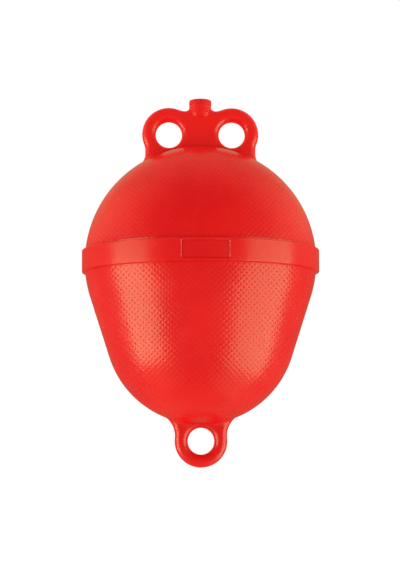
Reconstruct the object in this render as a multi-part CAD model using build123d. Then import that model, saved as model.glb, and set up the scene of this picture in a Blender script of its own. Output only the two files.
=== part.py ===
# Pear-shaped mooring buoy. Two hollow moulded half shells meet in a seam plane and a chamfered
# belt covers the seam. The crown carries a flat plate with twin eyes and a plugged filler neck,
# and the foot carries one mooring eye.
# Millimetres, +Z up, origin on the axis in the seam plane, the blank name plate towards -Y.
import math
import os

from build123d import *

os.makedirs("parts", exist_ok=True)

# Body: a dome sphere and a smaller foot sphere joined by their common tangent cone
dome_radius = 146.25  # outside, centred on the origin
foot_radius = 120.4  # outside
foot_drop = 84.35  # foot sphere's centre below the seam plane
wall = 4.0  # moulded wall of both shells

# Rim tongue of the lower shell, standing up inside the upper shell
tongue_height = 12.0  # above the seam plane
tongue_root = 14.0  # below the seam plane
tongue_thickness = 3.4
tongue_gap = 0.35  # clear of the upper shell's inside at the tongue's top
tongue_bite = 0.8  # how far its root runs into the lower shell's wall

# Eyes and the plates that carry them
plate_thickness = 19.0
plate_edge = 8.0  # rounding of the plates' outer edges
hole_radius = 16.7  # cylindrical wall of every eye
hole_edge = 8.2  # rounding of the holes' mouths
mouth_reach = 10.0  # how far a mouth is kept clear in front of its plate
bite = 1.0  # how far a plate's outline sinks below the shell's outside

# Crown plate
crown_eye_x = 40.0  # hole centres either side of the axis
crown_eye_rise = 16.25  # hole centres above the dome's top
crown_eye_radius = 34.0  # outside of each eye
crown_eye_lift = 0.8  # outside of each eye above its hole's centre
crown_half_width = 70.1  # straight flank below the eyes
flank_blend = 18.0  # eye to flank
crown_flare = 20.0  # flank to dome
saddle_drop = 4.1  # lowest point of the saddle below the tops of the eyes
neck_corner = 6.0  # saddle to neck
crown_reach = 84.0  # half width of the outline that is kept
crown_depth = 38.0  # the outline's lower end, below the dome's top
crown_root_blend = 8.0  # plate face to dome
boss_blend = 3.0  # plate to neck

# Filler neck
neck_radius = 14.0
neck_rise = 54.35  # the neck's mouth above the dome's top
neck_low = 45.0  # lower end of its cylinder, above the dome's top
neck_round = 10.0  # rounding below, where the neck runs into the plate
neck_bore_radius = 5.5
neck_lip = 0.4  # rounding at the neck's mouth
bore_depth = 16.0  # lower end of the bore's cutter, below the dome's top
web_inset = 0.7  # how far the plate's central web stays inside the neck
web_drop = 0.5  # the web's top below the neck's mouth

# Filler plug
plug_head_height = 7.05
plug_head_radius = 14.15
plug_crown = 2.4  # rounding of the head's upper edge
plug_lip = 0.4  # rounding of the head's lower edge
plug_gap = 0.15  # spigot clear of the neck's bore
plug_spigot_length = 22.0
plug_spigot_chamfer = 1.2

# Mooring eye at the foot
foot_eye_fall = 21.35  # hole centre below the foot's lowest point
foot_eye_radius = 33.0
foot_flare = 29.0  # eye to foot sphere
foot_reach = 56.0  # half width of the outline that is kept
foot_depth = 24.75  # the outline's upper end, above the foot's lowest point
foot_root_blend = 8.0  # plate face to foot

# Belt
belt_proud = 3.75  # outer face beyond the dome's radius
belt_face_height = 27.2  # the flat outer face
belt_chamfer_height = 6.4
belt_corner = 2.0  # rounding between face and chamfer

# Blank name plate and its pocket in the belt's face
pocket_width = 59.0
pocket_height = 23.6
pocket_depth = 1.8
pocket_corner = 2.0
name_plate_thickness = 1.0
name_plate_gap = 0.3  # all round, inside the pocket
cutter_depth = 20.0  # how far the pocket's block reaches either side of the belt's face

# Shares that find the edges of a root on a sphere
edge_sample_shares = (0.1, 0.5, 0.9)  # along the edge
root_slack_share = 0.01  # of the blend, allowed off the sphere

# Derived places
cone_angle = math.degrees(math.asin((dome_radius - foot_radius) / foot_drop))
half_plate = plate_thickness / 2
half_face = belt_face_height / 2
belt_radius = dome_radius + belt_proud
crown_eye_z = dome_radius + crown_eye_rise
crown_foot_z = dome_radius - crown_depth
neck_top = dome_radius + neck_rise
neck_low_z = dome_radius + neck_low
bore_root_z = dome_radius - bore_depth
foot_low_z = -foot_drop - foot_radius
foot_eye_z = foot_low_z - foot_eye_fall
foot_top_z = foot_low_z + foot_depth


def solid_of_section(section):
    """Turns a section drawn in X and Z about the Z axis."""
    return revolve(Plane.XZ * section, Axis.Z, 360)


def dome_body(radius):
    arc = CenterArc((0, 0), radius, 0, 90)
    ends = Polyline(arc @ 1, (0, 0), arc @ 0)
    return solid_of_section(make_face(arc + ends))


def foot_body(inset):
    """The lower body, its surface a given distance inside the outside."""
    upper = CenterArc((0, 0), dome_radius - inset, 0, -cone_angle)
    lower = CenterArc((0, -foot_drop), foot_radius - inset, -cone_angle, cone_angle - 90)
    flank = Line(upper @ 1, lower @ 0)
    ends = Polyline(lower @ 1, (0, 0), upper @ 0)
    return solid_of_section(make_face(upper + flank + lower + ends))


def towards(start, goal, distance):
    share = distance / math.dist(start, goal)
    return (start[0] + share * (goal[0] - start[0]), start[1] + share * (goal[1] - start[1]))


def arc_between(hub, start, end):
    """The shorter arc about a hub from one point to another."""
    first = math.degrees(math.atan2(start[1] - hub[1], start[0] - hub[0]))
    last = math.degrees(math.atan2(end[1] - hub[1], end[0] - hub[0]))
    sweep = (last - first + 180) % 360 - 180
    return CenterArc(hub, math.dist(hub, start), first, sweep)


def both_halves(half):
    """Closes a half outline that starts and ends on the axis with its mirror image."""
    return make_face(half + mirror(half, Plane.YZ))


def rounded_plate(outline, half_width):
    """Thickens an outline and rounds its rim, short of its straight sides inside the body."""
    plate = extrude(Plane.XZ * outline, half_plate, both=True)
    faces = plate.faces().filter_by(Axis.Y)
    rim = faces.edges().filter_by(GeomType.CIRCLE)
    rim += faces.edges().filter_by(Axis.Z).filter_by(
        lambda edge: abs(edge.center().X) < half_width - plate_edge
    )
    return fillet(rim, plate_edge)


def eye_cutter(x, z):
    """Fills one eye: a straight wall between two rounded mouths."""
    straight = half_plate - hole_edge
    mouth = hole_radius + hole_edge
    end = half_plate + mouth_reach
    upper = CenterArc((mouth, straight), hole_edge, 90, 90)
    lower = CenterArc((mouth, -straight), hole_edge, 180, 90)
    wall_line = Line(upper @ 1, lower @ 0)
    rest = Polyline(lower @ 1, (mouth, -end), (0, -end), (0, end), (mouth, end), upper @ 0)
    turned = solid_of_section(make_face(upper + wall_line + lower + rest))
    return Pos(x, 0, z) * Rot(90, 0, 0) * turned


def crown_outline():
    eye = (crown_eye_x, crown_eye_z + crown_eye_lift)
    dome = dome_radius - bite
    web_half = neck_radius - web_inset
    web_top = neck_top - web_drop

    def hub_beside(line_x, blend, centre, radius, upward):
        hub_x = line_x + blend
        rise = math.sqrt((radius + blend) ** 2 - (hub_x - centre[0]) ** 2)
        return (hub_x, centre[1] + upward * rise)

    saddle_x = web_half + neck_corner
    saddle_z = eye[1] + crown_eye_radius - saddle_drop
    rise = saddle_z - eye[1]
    apart = math.hypot(crown_eye_x - saddle_x, rise)
    sweep_radius = (apart**2 - crown_eye_radius**2) / (2 * (crown_eye_radius - rise))
    saddle = (saddle_x, saddle_z + sweep_radius)
    corner = (saddle_x, saddle_z + neck_corner)
    waist = hub_beside(crown_half_width, flank_blend, eye, crown_eye_radius, -1)
    flare = hub_beside(crown_half_width, crown_flare, (0, 0), dome, 1)
    saddle_end = towards(eye, saddle, crown_eye_radius)
    waist_start = towards(eye, waist, crown_eye_radius)
    flare_end = towards((0, 0), flare, dome)
    reach = (crown_reach, math.sqrt(dome**2 - crown_reach**2))
    half = Polyline((0, web_top), (web_half, web_top), (web_half, corner[1]))
    half += arc_between(corner, (web_half, corner[1]), (saddle_x, saddle_z))
    half += arc_between(saddle, (saddle_x, saddle_z), saddle_end)
    half += arc_between(eye, saddle_end, waist_start)
    half += arc_between(waist, waist_start, (crown_half_width, waist[1]))
    half += Line((crown_half_width, waist[1]), (crown_half_width, flare[1]))
    half += arc_between(flare, (crown_half_width, flare[1]), flare_end)
    half += arc_between((0, 0), flare_end, reach)
    half += Polyline(reach, (crown_reach, crown_foot_z), (0, crown_foot_z))
    return both_halves(half)


def blended_root(shell, hub, radius, reach, blend):
    """Fillets a plate's root, where its edges lie on a sphere within reach of the axis."""

    def on_root(edge):
        points = [edge @ share for share in edge_sample_shares]
        off = max(abs((point - hub).length - radius) for point in points)
        return off < root_slack_share * blend and max(abs(point.X) for point in points) < reach

    return fillet(shell.edges().filter_by(on_root), blend)


def neck_body():
    """The neck down to where its rounded lower end runs into the plate."""
    hub = (neck_radius - neck_round, neck_low_z)
    under = CenterArc(hub, neck_round, 0, -90)
    low = (0, neck_low_z - neck_round)
    rest = Polyline(under @ 1, low, (0, neck_top), (neck_radius, neck_top), under @ 0)
    neck = solid_of_section(make_face(under + rest))
    return fillet(neck.edges().sort_by(Axis.Z)[-1], neck_lip)


def crown_body():
    """Plate and neck, blended where the neck's outside leaves the plate."""
    crown = rounded_plate(crown_outline(), crown_reach) + neck_body()
    slack = root_slack_share * neck_radius
    low_z = neck_low_z - neck_round
    high_z = neck_top - neck_lip - slack

    def on_boss(edge):
        points = [edge @ share for share in edge_sample_shares]
        off_axis = max(math.hypot(point.X, point.Y) for point in points)
        return off_axis < neck_radius + slack and all(low_z < point.Z < high_z for point in points)

    return fillet(crown.edges().filter_by(on_boss), boss_blend)


def upper_shell():
    shell = dome_body(dome_radius) + crown_body()
    shell = blended_root(shell, Vector(0, 0, 0), dome_radius, crown_reach, crown_root_blend)
    shell -= dome_body(dome_radius - wall)
    shell -= Pos(0, 0, bore_root_z) * extrude(Circle(neck_bore_radius), neck_top - bore_root_z)
    for side in (-1, 1):
        shell -= eye_cutter(side * crown_eye_x, crown_eye_z)
    return shell


def foot_outline():
    eye = (0, foot_eye_z)
    foot = (0, -foot_drop)
    shell = foot_radius - bite
    apart = foot[1] - eye[1]
    to_eye = foot_eye_radius + foot_flare
    to_shell = shell + foot_flare
    rise = (apart**2 + to_eye**2 - to_shell**2) / (2 * apart)
    flare = (math.sqrt(to_eye**2 - rise**2), foot_eye_z + rise)
    flare_start = towards(eye, flare, foot_eye_radius)
    flare_end = towards(foot, flare, shell)
    reach = (foot_reach, foot[1] - math.sqrt(shell**2 - foot_reach**2))
    half = arc_between(eye, (0, foot_eye_z - foot_eye_radius), flare_start)
    half += arc_between(flare, flare_start, flare_end)
    half += arc_between(foot, flare_end, reach)
    half += Polyline(reach, (foot_reach, foot_top_z), (0, foot_top_z))
    return both_halves(half)


def tongue():
    outer = math.sqrt((dome_radius - wall) ** 2 - tongue_height**2) - tongue_gap
    inner = outer - tongue_thickness
    root = dome_radius - wall + tongue_bite
    corners = (
        (inner, -tongue_root),
        (root, -tongue_root),
        (root, 0),
        (outer, 0),
        (outer, tongue_height),
        (inner, tongue_height),
    )
    return solid_of_section(make_face(Polyline(*corners, close=True)))


def lower_shell():
    shell = foot_body(0) + rounded_plate(foot_outline(), foot_reach)
    foot = Vector(0, 0, -foot_drop)
    shell = blended_root(shell, foot, foot_radius, foot_reach, foot_root_blend)
    return shell - foot_body(wall) + tongue() - eye_cutter(0, foot_eye_z)


def belt_ring():
    top = half_face + belt_chamfer_height
    seat = math.sqrt(dome_radius**2 - top**2)
    face = Polyline((seat, -top), (belt_radius, -half_face), (belt_radius, half_face), (seat, top))
    rise = math.degrees(math.asin(top / dome_radius))
    inside = CenterArc((0, 0), dome_radius, rise, -2 * rise)
    section = make_face(face + inside)
    corners = section.vertices().sort_by(Axis.X)[-2:]
    return solid_of_section(fillet(corners, belt_corner))


def name_block(margin):
    """A round-cornered block through the belt's face, shrunk by a margin all round."""
    outline = RectangleRounded(pocket_width - 2 * margin, pocket_height - 2 * margin, pocket_corner)
    return Pos(0, -belt_radius, 0) * extrude(Plane.XZ * outline, cutter_depth, both=True)


def drum(radius):
    return extrude(Circle(radius), belt_face_height, both=True)


def belt():
    return belt_ring() - (name_block(0) - drum(belt_radius - pocket_depth))


def name_plate():
    floor = belt_radius - pocket_depth
    return name_block(name_plate_gap) & (drum(floor + name_plate_thickness) - drum(floor))


def filler_plug():
    spigot = neck_bore_radius - plug_gap
    head = Pos(0, 0, neck_top) * extrude(Circle(plug_head_radius), plug_head_height)
    head = fillet(head.edges().sort_by(Axis.Z)[-1], plug_crown)
    head = fillet(head.edges().sort_by(Axis.Z)[0], plug_lip)
    stem = Pos(0, 0, neck_top) * extrude(Circle(spigot), -plug_spigot_length)
    stem = chamfer(stem.edges().sort_by(Axis.Z)[0], plug_spigot_chamfer)
    return head + stem


for name, build in (
    ("upper_shell", upper_shell),
    ("lower_shell", lower_shell),
    ("belt", belt),
    ("name_plate", name_plate),
    ("filler_plug", filler_plug),
):
    export_step(build(), "parts/" + name + ".step")
    print(name)
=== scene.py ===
import math

import bmesh
import bpy
import numpy as np
from mathutils import Matrix, Vector
from mathutils.geometry import delaunay_2d_cdt


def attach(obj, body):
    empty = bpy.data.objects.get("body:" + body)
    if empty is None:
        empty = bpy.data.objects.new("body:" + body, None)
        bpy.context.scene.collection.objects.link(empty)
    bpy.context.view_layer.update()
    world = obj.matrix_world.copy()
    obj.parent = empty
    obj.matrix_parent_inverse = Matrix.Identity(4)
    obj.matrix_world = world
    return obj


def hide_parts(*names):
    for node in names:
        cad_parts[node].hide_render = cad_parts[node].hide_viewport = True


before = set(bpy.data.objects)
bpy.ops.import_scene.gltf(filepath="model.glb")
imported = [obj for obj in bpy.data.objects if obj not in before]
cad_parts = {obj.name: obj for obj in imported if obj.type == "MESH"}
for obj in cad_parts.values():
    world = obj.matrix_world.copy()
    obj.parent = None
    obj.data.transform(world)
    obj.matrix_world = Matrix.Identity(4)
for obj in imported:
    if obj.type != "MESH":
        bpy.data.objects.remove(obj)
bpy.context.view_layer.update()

mm = 0.001
weldGap = 0.001 * mm
scene = bpy.context.scene
print("frame loaded:", ", ".join(sorted(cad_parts)))


# Small tools for node trees, the same for shader and geometry trees

def feed(tree, socket, value):
    if isinstance(value, bpy.types.NodeSocket):
        tree.links.new(value, socket)
    elif value is not None:
        socket.default_value = value


def addNode(tree, kind, inputs=None, **settings):
    node = tree.nodes.new(kind)
    for name, value in settings.items():
        setattr(node, name, value)
    for key, value in (inputs or {}).items():
        feed(tree, node.inputs[key], value)
    return node


def sums(tree, operation, first, second=0.0):
    return addNode(tree, "ShaderNodeMath", {0: first, 1: second}, operation=operation).outputs[0]


def ramp(tree, value, low, high, start=0.0, end=1.0, smooth=True):
    kind = "SMOOTHSTEP" if smooth else "LINEAR"
    inputs = {"Value": value, "From Min": low, "From Max": high, "To Min": start, "To Max": end}
    return addNode(tree, "ShaderNodeMapRange", inputs, interpolation_type=kind).outputs[0]


def mixed(tree, kind, factor, first, second):
    # kind: FLOAT for numbers, RGBA for colours
    inputs = {"Factor": factor, "A": first, "B": second}
    return addNode(tree, "ShaderNodeMix", inputs, data_type=kind).outputs["Result"]


def newRule(name, sizes):
    tree = bpy.data.node_groups.new(name, "GeometryNodeTree")
    tree.interface.new_socket("Geometry", in_out="INPUT", socket_type="NodeSocketGeometry")
    for size in sizes:
        tree.interface.new_socket(size, in_out="INPUT", socket_type="NodeSocketFloat")
    tree.interface.new_socket("Material", in_out="INPUT", socket_type="NodeSocketMaterial")
    tree.interface.new_socket("Geometry", in_out="OUTPUT", socket_type="NodeSocketGeometry")
    start = tree.nodes.new("NodeGroupInput")
    end = tree.nodes.new("NodeGroupOutput")
    return tree, start, end


def closeRule(tree, geometry, material, end):
    real = addNode(tree, "GeometryNodeRealizeInstances", {0: geometry})
    painted = addNode(tree, "GeometryNodeSetMaterial", {"Geometry": real.outputs[0], "Material": material})
    tree.links.new(painted.outputs[0], end.inputs[0])


def plainMesh(holder):
    depsgraph = bpy.context.evaluated_depsgraph_get()
    mesh = bpy.data.meshes.new_from_object(holder.evaluated_get(depsgraph), depsgraph=depsgraph)
    bpy.data.objects.remove(holder)
    return mesh


def placed(name, mesh):
    piece = bpy.data.objects.new(name, mesh)
    scene.collection.objects.link(piece)
    return piece


def followRule(tree, mesh, sizes, material):
    holder = placed(tree.name + "Holder", mesh)
    modifier = holder.modifiers.new("rule", "NODES")
    modifier.node_group = tree
    for item in tree.interface.items_tree:
        if item.in_out == "INPUT" and item.name in sizes:
            modifier[item.identifier] = sizes[item.name]
        elif item.in_out == "INPUT" and item.name == "Material":
            modifier[item.identifier] = material
    return plainMesh(holder)


def meshFrom(name, points, faces):
    mesh = bpy.data.meshes.new(name)
    mesh.from_pydata([tuple(p) for p in points], [], [tuple(int(i) for i in f) for f in faces])
    return mesh


def welded(mesh):
    # a new mesh with its coinciding points merged, closed where the old one was loose faces
    work = bmesh.new()
    work.from_mesh(mesh)
    bmesh.ops.remove_doubles(work, verts=work.verts, dist=weldGap)
    result = bpy.data.meshes.new(mesh.name + "Welded")
    work.to_mesh(result)
    work.free()
    return result


def cutOrJoin(mesh, steps):
    # steps: pairs of operation and tool mesh, all closed solids
    holder = placed("work", mesh)
    tools = []
    for operation, tool in steps:
        tools.append(placed("tool", tool))
        modifier = holder.modifiers.new("step", "BOOLEAN")
        modifier.operation = operation
        modifier.solver = "MANIFOLD"
        modifier.object = tools[-1]
    result = plainMesh(holder)
    for tool in tools:
        bpy.data.objects.remove(tool)
    return result


sharp = {"shells": 60, "others": 30}  # degrees between two faces from which their edge stays sharp


def finishPiece(name, mesh, material, sharpAngle, slotName, *nodes):
    mesh.materials.clear()
    mesh.materials.append(material)
    mesh.shade_smooth()
    mesh.set_sharp_from_angle(angle=math.radians(sharpAngle))
    piece = placed(name, mesh)
    weigh = piece.modifiers.new("facesFirst", "WEIGHTED_NORMAL")
    weigh.keep_sharp = True
    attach(piece, "root")
    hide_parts(*nodes)


# Moulded plastic: a faint mottle, a fine satin grain and a little rub, with a crown plate painted lighter
# and shine painted out of the pits and the neck's foot

crownZones = {
    "offDome": (147.5 * mm, 152.0 * mm),  # from the dome's centre, where the plate stands clear
    "plateRise": (90.0 * mm, 110.0 * mm),
    "proud": (9.4 * mm, 10.2 * mm),  # from the plate's middle to just past its faces
    "neckRise": (150.0 * mm, 160.0 * mm),
    "footTop": (188.0 * mm, 194.0 * mm),
}
texture = {
    "mottle": (3.0, 0.5),  # each noise's detail and roughness
    "grain": (4.0, 0.6),
    "rub": (5.0, 0.65),
    "mottleSpan": (0.35, 0.65),  # the noise values between which the look changes
    "rubSpan": (0.4, 0.75),
    "grainDepth": 0.1 * mm,
    "shine": 0.5,  # the plain specular level
}


def litPlateMask(tree, place):
    # 1 on the crown plate and 0 on the knurled dome: where the shell's red is painted lighter, as painted
    # light
    away = addNode(tree, "ShaderNodeVectorMath", {0: place}, operation="LENGTH").outputs["Value"]
    height = addNode(tree, "ShaderNodeSeparateXYZ", {0: place}).outputs["Z"]
    clear = ramp(tree, away, *crownZones["offDome"])
    return sums(tree, "MULTIPLY", clear, ramp(tree, height, *crownZones["plateRise"]))


def neckFootShade(tree, place):
    # 1 on the neck's rounded foot, before and behind the crown plate's faces, where its highlight is
    # painted out as painted shade
    _, depth, height = addNode(tree, "ShaderNodeSeparateXYZ", {0: place}).outputs
    proud = ramp(tree, sums(tree, "ABSOLUTE", depth), *crownZones["proud"])
    low = ramp(tree, height, *crownZones["footTop"], 1, 0)
    onNeck = sums(tree, "MULTIPLY", ramp(tree, height, *crownZones["neckRise"]), low)
    return sums(tree, "MULTIPLY", proud, onNeck)


def plastic(name, look):
    material = bpy.data.materials.new(name)
    material.use_nodes = True
    tree = material.node_tree
    tree.nodes.clear()
    place = addNode(tree, "ShaderNodeTexCoord").outputs["Object"]

    def noise(layer):
        detail, roughness = texture[layer]
        inputs = {"Vector": place, "Scale": look[layer + "Scale"], "Detail": detail, "Roughness": roughness}
        return addNode(tree, "ShaderNodeTexNoise", inputs).outputs[0]

    cloud = ramp(tree, noise("mottle"), *texture["mottleSpan"])
    shade = mixed(tree, "RGBA", cloud, (*look["deep"], 1.0), (*look["bright"], 1.0))
    # painted light: the smooth crown plate gets a lighter red than the knurled dome of the same moulding
    if "plate" in look:
        shade = mixed(tree, "RGBA", litPlateMask(tree, place), shade, (*look["plate"], 1.0))
    satin = ramp(tree, noise("rub"), *texture["rubSpan"], *look["roughness"])
    grain = {"Strength": look["grain"], "Distance": texture["grainDepth"], "Height": noise("grain")}
    bump = addNode(tree, "ShaderNodeBump", grain)
    shader = addNode(tree, "ShaderNodeBsdfPrincipled")
    feed(tree, shader.inputs["Base Color"], shade)
    feed(tree, shader.inputs["Roughness"], satin)
    feed(tree, shader.inputs["Normal"], bump.outputs[0])
    shader.inputs["IOR"].default_value = look["ior"]
    if "pitShadeFull" in look:
        # painted shade: the shine is taken out of the pits' cores, so they read as dark dots in the
        # highlights, and off the neck's foot, so it shows no highlight
        pit = addNode(tree, "ShaderNodeAttribute", attribute_name="pit").outputs["Fac"]
        shine = ramp(tree, pit, 0.0, look["pitShadeFull"], texture["shine"], 0.0)
        neckShadeFactor = ramp(tree, neckFootShade(tree, place), 0, 1, 1, look["neckShadedShine"], smooth=False)
        feed(tree, shader.inputs["Specular IOR Level"], sums(tree, "MULTIPLY", shine, neckShadeFactor))
    out = addNode(tree, "ShaderNodeOutputMaterial")
    tree.links.new(shader.outputs[0], out.inputs[0])
    return material


buoyRed = {
    "deep": (0.78, 0.006, 0.006),
    "bright": (0.83, 0.009, 0.007),
    "mottleScale": 14.0,
    "grainScale": 1400.0,
    "rubScale": 60.0,
    "grain": 0.12,
    "roughness": (0.25, 0.3),
    "ior": 1.3,
}
# painted light: the crown plate's lighter red; painted shade: shine taken out of the pits and off the
# neck's foot
shellLook = {"plate": (0.93, 0.013, 0.009), "pitShadeFull": 1.0, "neckShadedShine": 0.3}
beltLook = {
    "deep": (0.80, 0.008, 0.007),
    "bright": (0.84, 0.010, 0.008),
    "mottleScale": 9.0,
    "roughness": (0.23, 0.28),
}
plateLook = {
    "deep": (0.74, 0.005, 0.005),
    "bright": (0.79, 0.007, 0.006),
    "grainScale": 900.0,
    "grain": 0.2,
    "roughness": (0.27, 0.33),
}
plugLook = {"bright": (0.84, 0.016, 0.011), "roughness": (0.25, 0.33)}
shellPlastic = plastic("shellPlastic", {**buoyRed, **shellLook})
beltPlastic = plastic("beltPlastic", {**buoyRed, **beltLook})
platePlastic = plastic("platePlastic", {**buoyRed, **plateLook})
plugPlastic = plastic("plugPlastic", {**buoyRed, **plugLook})
print("plastics mixed")


# Knurled body: lattice pads over both shells, pressed straight in from front and back

body = {
    "domeRadius": 146.25,
    "footRadius": 120.4,
    "footDrop": 84.35,
    "skinDepth": 2.2,  # how far the skin reaches into the CAD wall
    "rowStep": 4.0,
    "edgeSteps": (0.0, 0.5, 1.3),  # columns beside the parting line
    "zoneMargin": 2.0,
    "columnGap": 2.5,  # left free beside the parting line by the even columns
}
hair = 1e-4  # mm or radians within which two places are the same one
hairArea = 1e-7  # slivers below this are dropped
axisRadius = 1e-3  # mm from the axis within which an arc has no direction
knurl = {
    # mm between two crossings of the grooves, along a row and up a column
    "pitchAcross": 6.95,
    "pitchUp": 6.8,
    "shares": (0.0, 0.16, 0.37, 0.63, 0.84),  # groove, shoulders and pad along one side
    "turnLimit": 0.24,  # least forward share of the outside's direction that still carries pads
}


def domeLine(run):
    angle = run / body["domeRadius"]
    return body["domeRadius"] * np.cos(angle), body["domeRadius"] * np.sin(angle), np.cos(angle)


def domeRun(height):
    return body["domeRadius"] * np.arcsin(height / body["domeRadius"])


def footParts():
    cone = math.asin((body["domeRadius"] - body["footRadius"]) / body["footDrop"])
    bend = body["domeRadius"] * cone
    flank = body["footDrop"] * math.cos(cone)
    return cone, bend, flank


def footLine(run):
    cone, bend, flank = footParts()
    along = np.clip(run - bend, 0, flank)
    turn = np.clip(np.minimum(run, bend) / body["domeRadius"], 0, None)
    turn = turn + np.clip(run - bend - flank, 0, None) / body["footRadius"]
    upper, lower = body["domeRadius"], body["footRadius"]
    onFoot = run > bend + flank
    radius = np.where(onFoot, lower * np.cos(turn), upper * np.cos(turn) - along * math.sin(cone))
    footDrop = body["footDrop"] + lower * np.sin(turn)
    drop = np.where(onFoot, footDrop, upper * np.sin(turn) + along * math.cos(cone))
    return radius, drop, np.cos(turn)


def footRun(drop):
    cone, bend, flank = footParts()
    upperDrop = body["domeRadius"] * math.sin(cone)
    footStart = body["footDrop"] + body["footRadius"] * math.sin(cone)
    onDome = body["domeRadius"] * np.arcsin(np.clip(drop / body["domeRadius"], -1, 1))
    onFlank = bend + (drop - upperDrop) / math.cos(cone)
    onFoot = bend + flank + body["footRadius"] * (
        np.arcsin(np.clip((drop - body["footDrop"]) / body["footRadius"], -1, 1)) - cone
    )
    return np.where(drop < upperDrop, onDome, np.where(drop < footStart, onFlank, onFoot))


def padLattice(line, runOf, up, zone):
    # the grooves, shoulders and pads as points and edges of the chart, as far as pads reach
    reach = int(2 * body["domeRadius"] / knurl["pitchUp"]) + 2
    marks = np.array([i + share for i in range(-reach, reach) for share in knurl["shares"]])
    first, second = np.meshgrid(marks, marks, indexing="ij")
    across = knurl["pitchAcross"] * (first + second) / 2
    height = knurl["pitchUp"] * (first - second) / 2 * up
    run = runOf(np.clip(height, 0, zone["padsTo"]))
    radius, _, outward = line(run)
    sine = np.clip(across / radius, -1, 1)
    facing = outward * np.sqrt(1 - sine**2)
    inside = (height > zone["padsFrom"]) & (height < zone["padsTo"])
    inside &= (np.abs(across) < radius) & (facing > knurl["turnLimit"])
    cells = inside[:-1, :-1] & inside[1:, :-1] & inside[:-1, 1:] & inside[1:, 1:]
    used = np.zeros_like(inside)
    for i in (0, 1):
        for j in (0, 1):
            used[i:used.shape[0] - 1 + i, j:used.shape[1] - 1 + j] |= cells
    index = np.full(inside.shape, -1)
    index[used] = np.arange(used.sum())
    points = list(np.c_[(np.arcsin(sine) * radius)[used], (run * up)[used]])
    rows, columns = np.nonzero(cells)
    corners = [index[rows + i, columns + j] for i, j in ((0, 0), (1, 0), (1, 1), (0, 1))]
    edges = set()
    for k in range(4):
        edges |= set(zip(corners[k].tolist(), corners[(k + 1) % 4].tolist()))
    return points, {(min(e), max(e)) for e in edges}


def plainRows(points, line, startRun, endRun, up, zone):
    # adds rows of points round the pads, and returns the chart's three borders
    steps = round((endRun - startRun) / body["rowStep"])
    margin = body["zoneMargin"]
    leftLimb, rightLimb, startRow = [], [], []
    for k in range(steps):
        run = startRun + (endRun - startRun) * k / steps
        radius, height, outward = (float(v) for v in line(np.array(run)))
        half = radius * math.pi / 2
        count = max(1, round(half / body["rowStep"]))
        arcs = {half - step for step in body["edgeSteps"] if step < half / 2}
        even = (half * j / count for j in range(count))
        arcs |= {arc for arc in even if arc < half - body["columnGap"] or arc == 0}
        padHalf = -1.0  # no pads in this row
        if zone["padsFrom"] - margin < height < zone["padsTo"] + margin and outward > knurl["turnLimit"]:
            padHalf = radius * math.acos(knurl["turnLimit"] / outward) + margin
        for arc in sorted({s * a for a in arcs for s in (-1, 1)}):
            if abs(arc) <= padHalf:
                continue
            if abs(abs(arc) - half) < hair:
                (rightLimb if arc > 0 else leftLimb).append(len(points))
            if k == 0:
                startRow.append(len(points))
            points.append((arc, run * up))
    for limb in (leftLimb, rightLimb):
        limb.append(len(points))
    points.append((0.0, endRun * up))
    return leftLimb, rightLimb, startRow


def bothHalves(chart, faces, line, endRun, up):
    # the chart's front half in space, and its mirror image behind the parting line
    run = np.abs(chart[:, 1])
    radius, height, outward = line(run)
    turn = np.where(radius > axisRadius, chart[:, 0] / np.maximum(radius, axisRadius), 0)
    onSeam = (np.abs(np.abs(turn) - math.pi / 2) < hair) | (run > endRun - hair)
    upward = np.sqrt(np.clip(1 - outward**2, 0, 1)) * up
    normal = np.c_[outward * np.sin(turn), -outward * np.cos(turn), upward]
    front = np.c_[radius * np.sin(turn), -radius * np.cos(turn), height * up]
    front[onSeam, 1] = 0
    normal[onSeam, 1] = 0
    backIndex = np.arange(len(front)) + len(front)
    backIndex[onSeam] = np.nonzero(onSeam)[0]
    outer = np.vstack([front, front * (1, -1, 1)])
    normals = np.vstack([normal, normal * (1, -1, 1)])
    shell = np.vstack([faces, backIndex[faces][:, ::-1]])
    keep = np.unique(shell)
    renumber = np.full(len(outer), -1)
    renumber[keep] = np.arange(len(keep))
    return outer[keep], normals[keep], renumber[shell]


def thickened(name, outer, normals, shell):
    # a closed skin: the outside, its copy sunk into the CAD wall, and a rim between them
    inner = outer - normals * body["skinDepth"]
    count = len(outer)
    directed = {(int(f[k]), int(f[(k + 1) % 3])) for f in shell for k in range(3)}
    rim = [(v, u, u + count, v + count) for u, v in directed if (v, u) not in directed]
    faces = shell.tolist() + (shell[:, ::-1] + count).tolist() + rim
    mesh = meshFrom(name, np.vstack([outer, inner]) * mm, faces)
    outside = mesh.attributes.new("outside", "FLOAT", "POINT")
    outside.data.foreach_set("value", np.r_[np.ones(count), np.zeros(count)].astype(np.float32))
    return mesh


def skinSolid(name, line, runOf, up, zone):
    # the chart's places: arc from the middle, and run along the outside from the seam
    startRun, endRun = float(runOf(zone["start"])), zone["end"]
    points, edges = padLattice(line, runOf, up, zone)
    for chain in plainRows(points, line, startRun, endRun, up, zone):
        edges |= {(min(e), max(e)) for e in zip(chain[:-1], chain[1:])}
    flat, _, faces, *_ = delaunay_2d_cdt([Vector(p) for p in points], list(edges), [], 0, hair, False)
    chart = np.array([tuple(p) for p in flat])
    faces = np.array([tuple(f) for f in faces])
    a, b, c = (chart[faces[:, k]] for k in range(3))
    area = np.cross(b - a, c - a)
    faces = np.where((area < 0)[:, None], faces[:, ::-1], faces)[np.abs(area) > hairArea]
    return thickened(name, *bothHalves(chart, faces, line, endRun, up))


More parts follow.
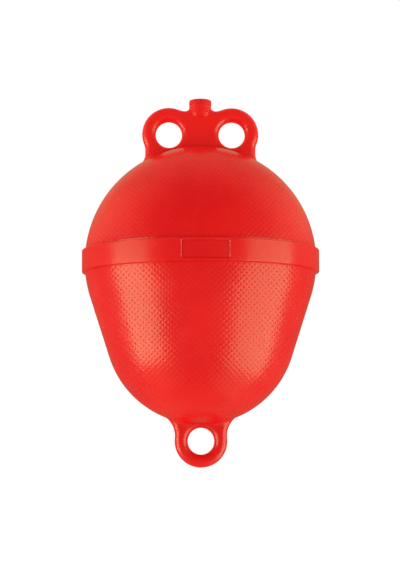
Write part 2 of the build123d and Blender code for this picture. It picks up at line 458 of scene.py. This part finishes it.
knurlSizes = {
    "Pitch Across": knurl["pitchAcross"] * mm,
    "Pitch Up": knurl["pitchUp"] * mm,
    "Groove Share": 0.42,  # of a cell, from a groove's middle to the pad's full height
    "Pad Height": 0.23 * mm,
    "Pit Share": 0.85,  # of that height sunk at the pits, the rest along the grooves
    "Core Share": 0.37,  # of a cell, from a pit's middle to the edge of its deeper core
    "Core Depth": 0.1 * mm,
    "Pit Shade Near": 1.0,  # how much shine is painted out of the pits beside the belt, as painted shade
    "Pit Shade Far": 0.75,  # and from the reach onwards
    "Pit Shade Reach": 45.0 * mm,
    "Turn Start": 0.27,  # forward share of the outside's direction where the relief starts
    "Turn Full": 0.5,
    "Belt Edge": 14.3 * mm,
    "Belt Fade": 0.8 * mm,
    "Dip Width": 0.8 * mm,
    "Dip Depth": 0.3 * mm,
    "Far Edge": 400.0 * mm,  # past the dome, so its knurling has no far end
    "Far Fade": 1.0 * mm,
    "Lift": 0.03 * mm,  # of the whole skin over the CAD surface
    "Seam Width": 1.2 * mm,
    "Seam Height": 0.2 * mm,
}


def latticeRelief(tree, size, x, z):
    # grooves run along both lattice lines, and a pit sinks where they cross
    across = sums(tree, "DIVIDE", x, size["Pitch Across"])
    upwards = sums(tree, "DIVIDE", z, size["Pitch Up"])
    pad, pit, core = 1.0, 1.0, 1.0
    for way in ("ADD", "SUBTRACT"):
        toGroove = sums(tree, "PINGPONG", sums(tree, way, across, upwards), 0.5)
        ridge = ramp(tree, toGroove, 0.0, size["Groove Share"])
        pad = sums(tree, "MULTIPLY", pad, ridge)
        pit = sums(tree, "MULTIPLY", pit, sums(tree, "SUBTRACT", 1.0, ridge))
        core = sums(tree, "MULTIPLY", core, ramp(tree, toGroove, 0.0, size["Core Share"], 1.0, 0.0))
    beside = sums(tree, "MULTIPLY", sums(tree, "SUBTRACT", 1.0, pit), size["Pit Share"])
    pad = sums(tree, "MULTIPLY", pad, sums(tree, "SUBTRACT", 1.0, size["Pit Share"]))
    pad = sums(tree, "MULTIPLY", sums(tree, "ADD", pad, beside), size["Pad Height"])
    besideCore = sums(tree, "MULTIPLY", sums(tree, "SUBTRACT", 1.0, core), size["Core Depth"])
    return sums(tree, "ADD", pad, besideCore), core


def knurlRule():
    tree, start, end = newRule("knurlRule", knurlSizes)
    size = start.outputs
    place = addNode(tree, "GeometryNodeInputPosition").outputs[0]
    normal = addNode(tree, "GeometryNodeInputNormal").outputs[0]
    facing = addNode(tree, "ShaderNodeSeparateXYZ", {0: normal}).outputs["Y"]
    x, y, z = addNode(tree, "ShaderNodeSeparateXYZ", {0: place}).outputs
    relief, core = latticeRelief(tree, size, x, z)
    away = sums(tree, "ABSOLUTE", z)
    beltEnd = sums(tree, "ADD", size["Belt Edge"], size["Belt Fade"])
    farStart = sums(tree, "SUBTRACT", size["Far Edge"], size["Far Fade"])
    turned = sums(tree, "ABSOLUTE", facing)
    for fade in (
        ramp(tree, turned, size["Turn Start"], size["Turn Full"]),
        ramp(tree, away, size["Belt Edge"], beltEnd),
        sums(tree, "SUBTRACT", 1.0, ramp(tree, away, farStart, size["Far Edge"])),
    ):
        relief = sums(tree, "MULTIPLY", relief, fade)
        core = sums(tree, "MULTIPLY", core, fade)
    toSeam = sums(tree, "ABSOLUTE", y)
    bead = sums(tree, "SUBTRACT", 1.0, ramp(tree, toSeam, 0.0, size["Seam Width"]))
    bead = sums(tree, "MULTIPLY", bead, size["Seam Height"])
    relief = sums(tree, "ADD", relief, bead)
    # under the belt the skin dips into the wall, so it never shows through
    dipStart = sums(tree, "SUBTRACT", size["Belt Edge"], size["Dip Width"])
    dipFloor = sums(tree, "SUBTRACT", 0.0, size["Dip Depth"])
    dip = ramp(tree, away, dipStart, size["Belt Edge"], dipFloor, size["Lift"])
    relief = sums(tree, "ADD", relief, dip)
    outside = addNode(tree, "GeometryNodeInputNamedAttribute", {"Name": "outside"}, data_type="FLOAT")
    relief = sums(tree, "MULTIPLY", relief, outside.outputs[0])
    shift = addNode(tree, "ShaderNodeVectorMath", {0: normal, 3: relief}, operation="SCALE").outputs[0]
    # painted shade: the pits' shine is taken out most beside the belt
    pitShadeAmount = ramp(tree, away, size["Belt Edge"], size["Pit Shade Reach"], size["Pit Shade Near"], size["Pit Shade Far"])
    pitShadeStore = {"Geometry": size["Geometry"], "Name": "pit", "Value": sums(tree, "MULTIPLY", core, pitShadeAmount)}
    marked = addNode(tree, "GeometryNodeStoreNamedAttribute", pitShadeStore)
    moved = addNode(tree, "GeometryNodeSetPosition", {"Geometry": marked.outputs[0], "Offset": shift})
    closeRule(tree, moved.outputs[0], size["Material"], end)
    return tree


# heights from the seam, but for each end, which is the run from seam to axis
cone, bend, flank = footParts()
footEnd = bend + flank + body["footRadius"] * (math.pi / 2 - cone)
footZone = {"start": 10.0, "end": footEnd, "padsFrom": 12.6, "padsTo": 172.0}
domeEnd = body["domeRadius"] * math.pi / 2
domeZone = {"start": 10.0, "end": domeEnd, "padsFrom": 12.6, "padsTo": 142.0}
bore = {"radius": 5.5, "low": 130.0, "high": 150.0, "steps": 64}


def boreTool():
    # clears the filler neck's bore through the skin
    count, radius = bore["steps"], bore["radius"] * mm
    turns = [2 * math.pi * k / count for k in range(count)]
    heights = (bore["low"] * mm, bore["high"] * mm)
    points = [(radius * math.cos(t), radius * math.sin(t), z) for z in heights for t in turns]
    faces = [tuple(range(count))[::-1], tuple(range(count, 2 * count))]
    faces += [(k, (k + 1) % count, (k + 1) % count + count, k + count) for k in range(count)]
    return meshFrom("bore", points, faces)


rule = knurlRule()
domeSkin = followRule(rule, skinSolid("domeSkin", domeLine, domeRun, 1, domeZone), knurlSizes, shellPlastic)
footSizes = {**knurlSizes, "Pit Shade Reach": 130.0 * mm, "Far Edge": 168.0 * mm, "Far Fade": 3.0 * mm}
footSkin = followRule(rule, skinSolid("footSkin", footLine, footRun, -1, footZone), footSizes, shellPlastic)
print("skins pressed:", len(domeSkin.polygons), len(footSkin.polygons))
upperMesh = welded(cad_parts["upper_shell"].data)
upperMesh = cutOrJoin(upperMesh, [("UNION", domeSkin), ("DIFFERENCE", boreTool())])
lowerMesh = cutOrJoin(welded(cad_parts["lower_shell"].data), [("UNION", footSkin)])
finishPiece("upperShell", upperMesh, shellPlastic, sharp["shells"], "shell_plastic", "upper_shell")
finishPiece("lowerShell", lowerMesh, shellPlastic, sharp["shells"], "shell_plastic", "lower_shell")
print("shells joined:", len(upperMesh.polygons), len(lowerMesh.polygons))


# Belt and name plate: finer than the CAD meshes, with soft edges that catch the light

belt = {
    "faceRadius": 150.0,
    "halfFace": 13.7,  # from the seam to the face's edge
    "halfHeight": 14.4,  # and to where each ledge meets the body
    "corner": 0.9,
    "cornerSteps": 6,
    "insideSteps": 8,
    "turnSteps": 288,
}
pocket = {
    "width": 56.4,
    "height": 21.4,
    "corner": 1.3,
    "cornerSteps": 6,
    "floorRadius": 148.2,
    "bevel": 1.35,  # width and depth of the mouth's slope, whose ends catch the side lights
    "bevelDepth": 1.27,
    "overrun": 0.7,  # how far the cutter stands out of the belt
    "columnStep": 2.5,
    "plateTop": 148.8,
    "plateGap": 0.7,
    "plateEdge": 0.35,
    "edgeSteps": 6,
}


def beltProfile():
    # radius and height round the section, from the upper seat over the face to the lower one
    seat = math.sqrt(body["domeRadius"] ** 2 - belt["halfHeight"] ** 2)
    slope = math.atan2(belt["faceRadius"] - seat, belt["halfHeight"] - belt["halfFace"])
    hub = belt["halfFace"] - belt["corner"] * math.tan(slope / 2)
    turns = [slope * (1 - k / belt["cornerSteps"]) for k in range(belt["cornerSteps"] + 1)]
    inset = belt["faceRadius"] - belt["corner"]
    upper = [(inset + belt["corner"] * math.cos(t), hub + belt["corner"] * math.sin(t)) for t in turns]
    outer = [(seat, belt["halfHeight"])] + upper
    outer += [(radius, -height) for radius, height in reversed(outer)]
    rise = math.asin(belt["halfHeight"] / body["domeRadius"])
    back = [rise * (2 * k / belt["insideSteps"] - 1) for k in range(1, belt["insideSteps"])]
    return outer + [(body["domeRadius"] * math.cos(t), body["domeRadius"] * math.sin(t)) for t in back]


def turnedRing(name, profile, count, closed=True):
    # the profile runs downwards on its outer side; an open one starts and ends on the axis
    points, faces = [], []
    for k in range(count):
        turn = 2 * math.pi * k / count
        points += [(r * math.cos(turn) * mm, r * math.sin(turn) * mm, z * mm) for r, z in profile]
    size = len(profile)
    for k in range(count):
        for i in range(size if closed else size - 1):
            here, along = k * size, (k + 1) % count * size
            j = (i + 1) % size
            faces.append((here + i, here + j, along + j, along + i))
    return meshFrom(name, points, faces)


def curvedBlock(name, levels):
    # rounded rectangles stacked from the inside out, each bent round the axis: (radius, margin)
    points, faces, loops = [], [], []
    for radius, margin in levels:
        corner = pocket["corner"] - margin
        across = pocket["width"] / 2 - margin - corner
        up = pocket["height"] / 2 - margin - corner
        turns = [math.pi / 2 * k / pocket["cornerSteps"] for k in range(pocket["cornerSteps"] + 1)]
        columns = [(-across - corner * math.cos(t), up + corner * math.sin(t)) for t in turns]
        count = round(2 * across / pocket["columnStep"])
        columns += [(across * (2 * k / count - 1), up + corner) for k in range(1, count)]
        columns += [(-x, z) for x, z in reversed(columns[:len(turns)])]
        start = len(points)
        for side in (1, -1):
            points += [(x * mm, -math.sqrt(radius**2 - x**2) * mm, side * z * mm) for x, z in columns]
        size = len(columns)
        loops.append([start + k for k in range(size)] + [start + size + k for k in reversed(range(size))])
    for inner, outer in zip(loops[:-1], loops[1:]):
        for k in range(len(inner)):
            j = (k + 1) % len(inner)
            faces.append((inner[k], outer[k], outer[j], inner[j]))
    for loop, outward in ((loops[0], False), (loops[-1], True)):
        for k in range(len(loop) // 2 - 1):
            quad = (loop[k], loop[k + 1], loop[-k - 2], loop[-k - 1])
            faces.append(quad[::-1] if outward else quad)
    return meshFrom(name, points, faces)


def roundedLevels(radius, margin, rounding):
    # a quarter round in steps at the plate's outer edge
    turns = [math.pi / 2 * k / pocket["edgeSteps"] for k in range(pocket["edgeSteps"] + 1)]
    return [(radius - rounding * (1 - math.sin(t)), margin + rounding * (1 - math.cos(t))) for t in turns]


slopeFoot = belt["faceRadius"] - pocket["bevelDepth"]
beyond = 1 + pocket["overrun"] / pocket["bevelDepth"]  # the slope runs on past the belt's face
pocketLevels = [(pocket["floorRadius"], 0.0), (slopeFoot, 0.0)]
pocketLevels.append((slopeFoot + beyond * pocket["bevelDepth"], -beyond * pocket["bevel"]))
plateLevels = [(pocket["floorRadius"], pocket["plateGap"])]
plateLevels += roundedLevels(pocket["plateTop"], pocket["plateGap"], pocket["plateEdge"])
beltMesh = turnedRing("beltMesh", beltProfile(), belt["turnSteps"])
beltMesh = cutOrJoin(beltMesh, [("DIFFERENCE", curvedBlock("pocketTool", pocketLevels))])
finishPiece("beltRing", beltMesh, beltPlastic, sharp["others"], "belt_plastic", "belt")
plateMesh = curvedBlock("namePlateMesh", plateLevels)
finishPiece("namePlate", plateMesh, platePlastic, sharp["others"], "plate_plastic", "name_plate")
print("belt and plate fitted:", len(beltMesh.polygons))


# Plug: a domed head on the neck's mouth and a spigot in its bore

plug = {
    "seat": 200.6,
    "headRadius": 14.15,
    "headHeight": 7.05,
    "crown": 2.4,  # rounding above
    "lip": 0.4,  # rounding below
    "spigotRadius": 5.35,
    "spigotLength": 22.0,
    "chamfer": 1.2,
    "roundSteps": 8,
    "turnSteps": 96,
}


def plugProfile():
    low, top = plug["seat"] - plug["spigotLength"], plug["seat"] + plug["headHeight"]
    outer = plug["headRadius"]
    turns = [math.pi / 2 * k / plug["roundSteps"] for k in range(plug["roundSteps"] + 1)]
    lip, crown = plug["lip"], plug["crown"]
    # from the spigot's end upwards, then turned over
    profile = [(0.0, low), (plug["spigotRadius"] - plug["chamfer"], low)]
    profile += [(plug["spigotRadius"], low + plug["chamfer"]), (plug["spigotRadius"], plug["seat"])]
    profile += [(outer - lip + lip * math.sin(t), plug["seat"] + lip - lip * math.cos(t)) for t in turns]
    profile += [(outer - crown + crown * math.cos(t), top - crown + crown * math.sin(t)) for t in turns]
    return [(0.0, top)] + profile[::-1]


plugMesh = welded(turnedRing("plugMesh", plugProfile(), plug["turnSteps"], closed=False))
finishPiece("fillerPlug", plugMesh, plugPlastic, sharp["others"], "plug_plastic", "filler_plug")
print("plug fitted:", len(plugMesh.polygons))


# Floor, lights and camera

studio = {
    "floorHeight": -0.31,
    "floorRadius": 6.0,
    "floorSteps": 96,
    "floorGrey": 0.85,
    "floorRoughness": 0.8,
    "floorGlow": 0.8,
    "backdrop": 1.0,
    "boxHub": (0, 0, -0.03),  # what the softboxes are turned to
    "warm": (0.4, 1.0, 0.58),  # colour of the softboxes, whose blue the mirrored room shares
}
# light from the room: spans are shares of a direction, sideways or upwards
room = {
    "around": 1.57,  # what matt surfaces get from the sides and the back
    "aroundDim": 0.47,  # and from the dim side behind the camera
    "dimRise": 30.0,  # degrees above level
    "above": (0.93, 1.12),  # times as much from above, ahead and from the sides
    "below": (1.37, 1.04),  # and from a little below
    "sideSpan": (0.3, 0.9),
    "levelSpan": (-0.25, 0.2),
    "underneath": 0.42,  # the share of that left straight below
    "underSpan": (-0.4, -0.9),
    "glossLevel": 0.15,  # what glossy surfaces mirror level with them where no box stands
    "glossAbove": (0.44, 0.95),  # from ahead and from the sides
    "glossAboveSides": (0.5, 0.9),
    "glossAboveSpan": (0.08, 0.35),
    "glossBelow": (0.4, 0.7),
    "glossBelowSides": (0.3, 0.7),
    "glossBelowSpan": (-0.55, -0.9),
    "glossDimRise": 12.0,
    "dimSpread": 0.6,  # share of the dim direction at which the mirrored room is darkest
}


def paleFloor():
    count, radius = studio["floorSteps"], studio["floorRadius"]
    turns = [2 * math.pi * k / count for k in range(count)]
    points = [(radius * math.cos(turn), radius * math.sin(turn), studio["floorHeight"]) for turn in turns]
    floor = placed("floor", meshFrom("floor", points, [tuple(range(count))]))
    material = bpy.data.materials.new("paleFloor")
    material.use_nodes = True
    shader = material.node_tree.nodes["Principled BSDF"]
    shader.inputs["Base Color"].default_value = (*[studio["floorGrey"]] * 3, 1)
    shader.inputs["Roughness"].default_value = studio["floorRoughness"]
    shader.inputs["Emission Color"].default_value = (1, 1, 1, 1)
    shader.inputs["Emission Strength"].default_value = studio["floorGlow"]
    floor.data.materials.append(material)
    floor.visible_shadow = False
    floor.visible_glossy = False
    floor.visible_diffuse = False


def towardsDim(tree, way, degrees):
    # 1 straight towards the dim side, that many degrees above level
    rise = math.radians(degrees)
    inputs = {0: way, 1: (0, -math.cos(rise), math.sin(rise))}
    return addNode(tree, "ShaderNodeVectorMath", inputs, operation="DOT_PRODUCT").outputs["Value"]


def mattLight(tree, way, aside, height):
    toDim = towardsDim(tree, way, room["dimRise"])
    around = ramp(tree, toDim, 0, 1, room["around"], room["aroundDim"], smooth=False)
    low = ramp(tree, aside, *room["sideSpan"], *room["below"])
    high = ramp(tree, aside, *room["sideSpan"], *room["above"])
    share = mixed(tree, "FLOAT", ramp(tree, height, *room["levelSpan"]), low, high)
    under = ramp(tree, height, *room["underSpan"], 1, room["underneath"])
    return sums(tree, "MULTIPLY", sums(tree, "MULTIPLY", around, share), under)


def mirroredLight(tree, way, aside, height):
    overhead = ramp(tree, aside, *room["glossAboveSides"], *room["glossAbove"])
    underfoot = ramp(tree, aside, *room["glossBelowSides"], *room["glossBelow"])
    above = ramp(tree, height, *room["glossAboveSpan"], room["glossLevel"], overhead)
    below = ramp(tree, height, *room["glossBelowSpan"], room["glossLevel"], underfoot)
    lit = ramp(tree, towardsDim(tree, way, room["glossDimRise"]), 0, room["dimSpread"], 1, 0)
    return sums(tree, "MULTIPLY", sums(tree, "MAXIMUM", above, below), lit)


def whiteWorld():
    world = bpy.data.worlds.new("whiteRoom")
    scene.world = world
    world.use_nodes = True
    tree = world.node_tree
    tree.nodes.clear()
    path = addNode(tree, "ShaderNodeLightPath").outputs
    way = addNode(tree, "ShaderNodeTexCoord").outputs["Generated"]
    sideways, _, height = addNode(tree, "ShaderNodeSeparateXYZ", {0: way}).outputs
    aside = sums(tree, "ABSOLUTE", sideways)
    matt, mirrored = mattLight(tree, way, aside, height), mirroredLight(tree, way, aside, height)
    level = mixed(tree, "FLOAT", path["Is Glossy Ray"], matt, mirrored)
    seen = mixed(tree, "FLOAT", path["Is Camera Ray"], level, studio["backdrop"])
    tone = mixed(tree, "RGBA", path["Is Glossy Ray"], (1, 1, 1, 1), (1, 1, studio["warm"][2], 1))
    glow = addNode(tree, "ShaderNodeBackground", {"Color": tone, "Strength": seen})
    out = addNode(tree, "ShaderNodeOutputWorld")
    tree.links.new(glow.outputs[0], out.inputs[0])


def softbox(name, azimuth, elevation, distance, size, glow):
    # seen in gloss only; azimuth 0 is the front, positive towards +X; a glow of 1 is white paper
    a, e = math.radians(azimuth), math.radians(elevation)
    out = Vector((math.sin(a) * math.cos(e), -math.cos(a) * math.cos(e), math.sin(e)))
    lamp = bpy.data.lights.new(name, "AREA")
    lamp.shape = "RECTANGLE"
    lamp.size, lamp.size_y = size
    lamp.color = studio["warm"]
    lamp.energy = glow * math.pi * size[0] * size[1]
    holder = bpy.data.objects.new(name, lamp)
    scene.collection.objects.link(holder)
    holder.location = Vector(studio["boxHub"]) + out * distance
    holder.rotation_euler = (-out).to_track_quat("-Z", "Y").to_euler()
    holder.visible_camera = False
    holder.visible_diffuse = False


softboxes = {
    "leftBox": (-71.0, -14.5, 1.5, (1.12, 1.16), 10.2),
    "leftLow": (-70.0, -52.0, 1.5, (1.1, 0.8), 0.7),
    "rightBox": (66.0, -19.0, 1.5, (1.54, 1.56), 7.1),
    "rightLow": (66.0, -58.0, 1.5, (1.2, 0.8), 1.0),
}
viewpoint = {
    "far": 2.3,
    "side": 2.4,  # degrees left of the front
    "height": -0.2526,
    "aim": (-0.00076, 0, -0.0292),
    "roll": -0.13,
    "sensor": 36.0,
    "focal": 1826.8,  # in pixels of a picture this many high
    "pictureHeight": 570,
    "clip": (0.1, 30.0),
}


def photoCamera():
    far, side = viewpoint["far"], math.radians(viewpoint["side"])
    data = bpy.data.cameras.new("photoCamera")
    data.sensor_width = viewpoint["sensor"]
    data.lens = viewpoint["focal"] / viewpoint["pictureHeight"] * viewpoint["sensor"]
    data.clip_start, data.clip_end = viewpoint["clip"]
    camera = bpy.data.objects.new("photoCamera", data)
    scene.collection.objects.link(camera)
    camera.location = (-far * math.sin(side), -far * math.cos(side), viewpoint["height"])
    turn = (Vector(viewpoint["aim"]) - camera.location).to_track_quat("-Z", "Y").to_matrix().to_4x4()
    roll = Matrix.Rotation(math.radians(viewpoint["roll"]), 4, "Z")
    camera.matrix_world = Matrix.Translation(camera.location) @ turn @ roll
    scene.camera = camera


paleFloor()
whiteWorld()
for name, setting in softboxes.items():
    softbox(name, *setting)
photoCamera()
scene.view_settings.view_transform = "Standard"
print("studio lit")
